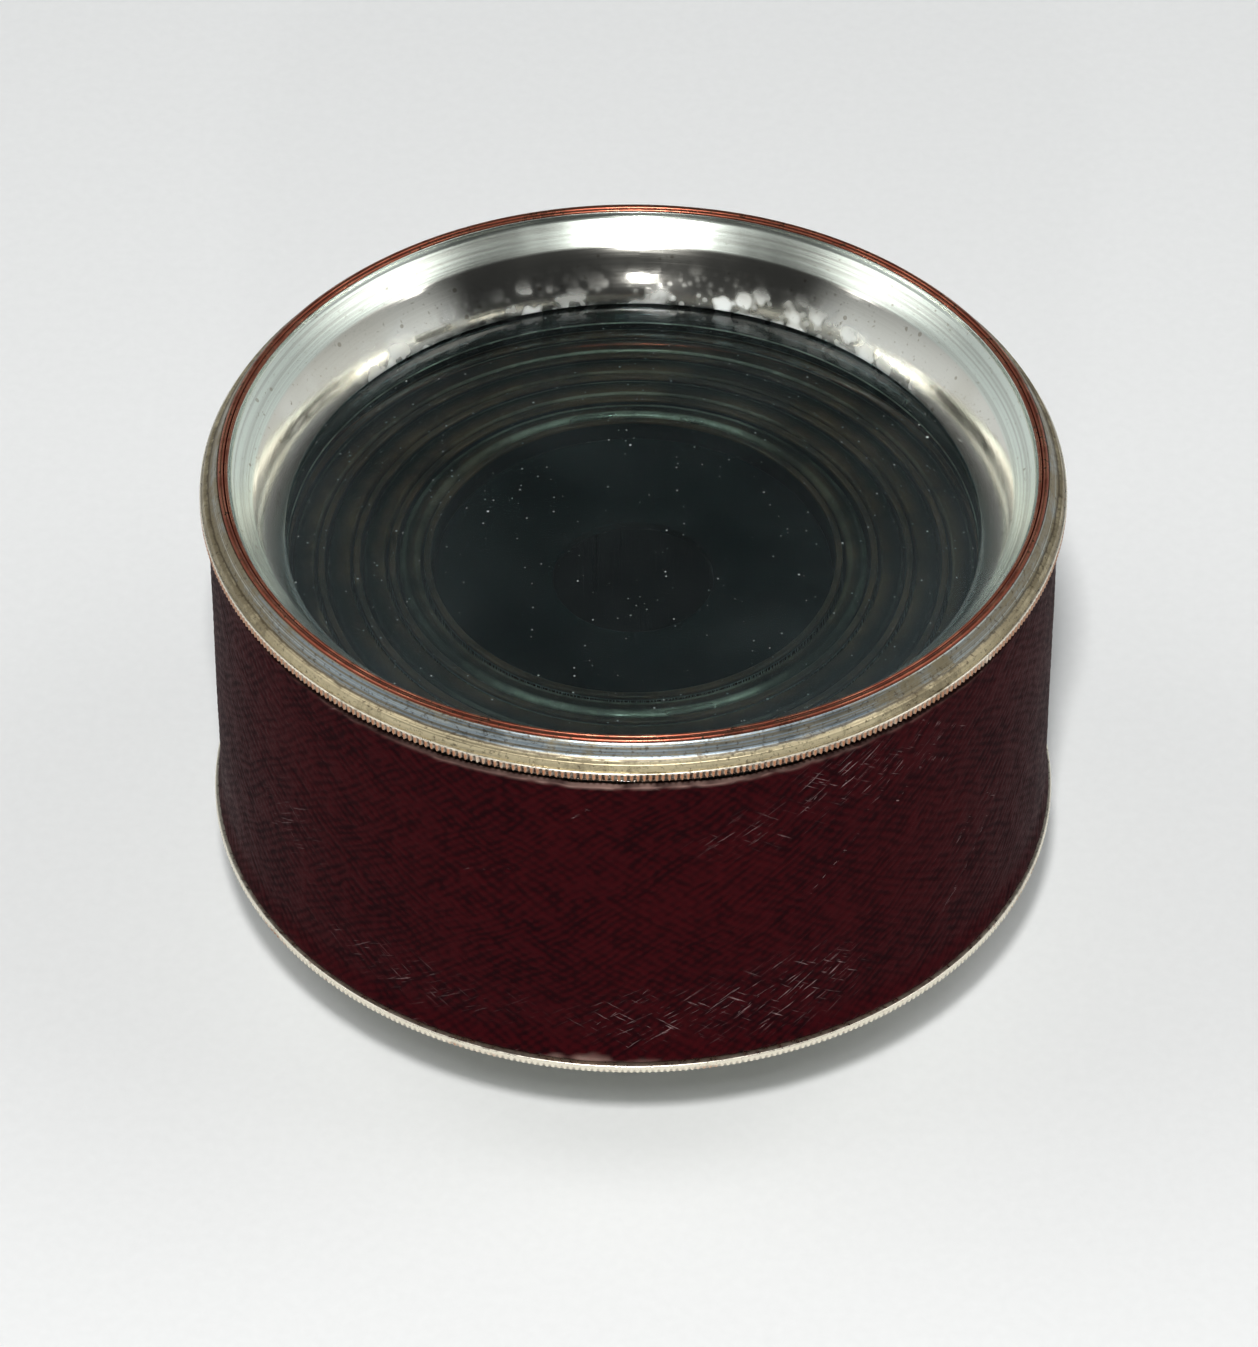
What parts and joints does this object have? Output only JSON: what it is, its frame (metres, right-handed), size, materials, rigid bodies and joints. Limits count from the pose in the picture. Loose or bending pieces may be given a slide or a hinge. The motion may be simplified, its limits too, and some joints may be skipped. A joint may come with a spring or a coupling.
{
  "type": "magnifying glass",
  "caption": "Leather-covered drum magnifying glass: recessed lens in a dished, milled, silver-plated bezel, on nested draw tubes that pull out.",
  "frame": {"origin": "middle of the eye cup's rim, on the table it stands on", "axes": "+Z along the optical axis, up through the big lens; the part is turned about Z, so X and Y are free"},
  "size_m": [0.076, 0.076, 0.0507],
  "materials": {
    "silver_plate": "worn silver plate on copper, tarnished in the coves",
    "copper_edge": "bare copper edge, rubbed bright in places",
    "morocco_leather": "dark burgundy cross-grained morocco, rubbed and scratched",
    "lens_glass": "polished, dusty",
    "black_lacquer": "matt black lacquer, worn to copper at the edges"
  },
  "bodies": {
    "eyepiece": {"draw_5_tube": "silver_plate", "draw_5_stop_ring": "black_lacquer", "field_stop": "black_lacquer", "eye_cup": "silver_plate", "eye_lens": "lens_glass", "eye_lens_ring": "black_lacquer"},
    "draw_4": {"draw_4_tube": "silver_plate", "draw_4_stop_ring": "black_lacquer", "draw_4_collar": "silver_plate"},
    "draw_3": {"draw_3_tube": "silver_plate", "draw_3_stop_ring": "black_lacquer", "draw_3_collar": "silver_plate"},
    "draw_2": {"draw_2_tube": "silver_plate", "draw_2_stop_ring": "black_lacquer", "draw_2_collar": "silver_plate"},
    "draw_1": {"draw_1_tube": "silver_plate", "draw_1_stop_ring": "black_lacquer", "draw_1_collar": "silver_plate"},
    "barrel": {"barrel_tube": "silver_plate", "leather_cover": "morocco_leather", "front_ferrule": "silver_plate", "rear_ring": "silver_plate", "rear_bush": "silver_plate"},
    "objective": {"front_lens": "lens_glass", "rear_lens": "lens_glass"},
    "bezel": {"bezel_ring": "silver_plate", "bezel_cove": "silver_plate", "lip_ring": "copper_edge", "dish_collar": "silver_plate", "lens_retainer": "black_lacquer"}
  },
  "joints": [
    {"name": "draw_4_slide", "type": "slide", "parent": "eyepiece", "child": "draw_4", "axis": [0, 0, 1], "range_m": [0, 0.025]},
    {"name": "draw_3_slide", "type": "slide", "parent": "draw_4", "child": "draw_3", "axis": [0, 0, 1], "range_m": [0, 0.023]},
    {"name": "draw_2_slide", "type": "slide", "parent": "draw_3", "child": "draw_2", "axis": [0, 0, 1], "range_m": [0, 0.021]},
    {"name": "draw_1_slide", "type": "slide", "parent": "draw_2", "child": "draw_1", "axis": [0, 0, 1], "range_m": [0, 0.019]},
    {"name": "barrel_slide", "type": "slide", "parent": "draw_1", "child": "barrel", "axis": [0, 0, 1], "range_m": [0, 0.019]},
    {"name": "bezel_lift", "type": "slide", "parent": "barrel", "child": "objective", "axis": [0, 0, 1], "range_m": [0, 0.004]},
    {"name": "bezel_turn", "type": "hinge", "parent": "objective", "child": "bezel", "pos_m": [0, 0, 0.0484], "axis": [0, 0, 1], "range_deg": [0, 1440]}
  ],
  "couplings": [
    {"joint": "bezel_lift", "follows": "bezel_turn", "m_per_rad": 0.00015915}
  ]
}
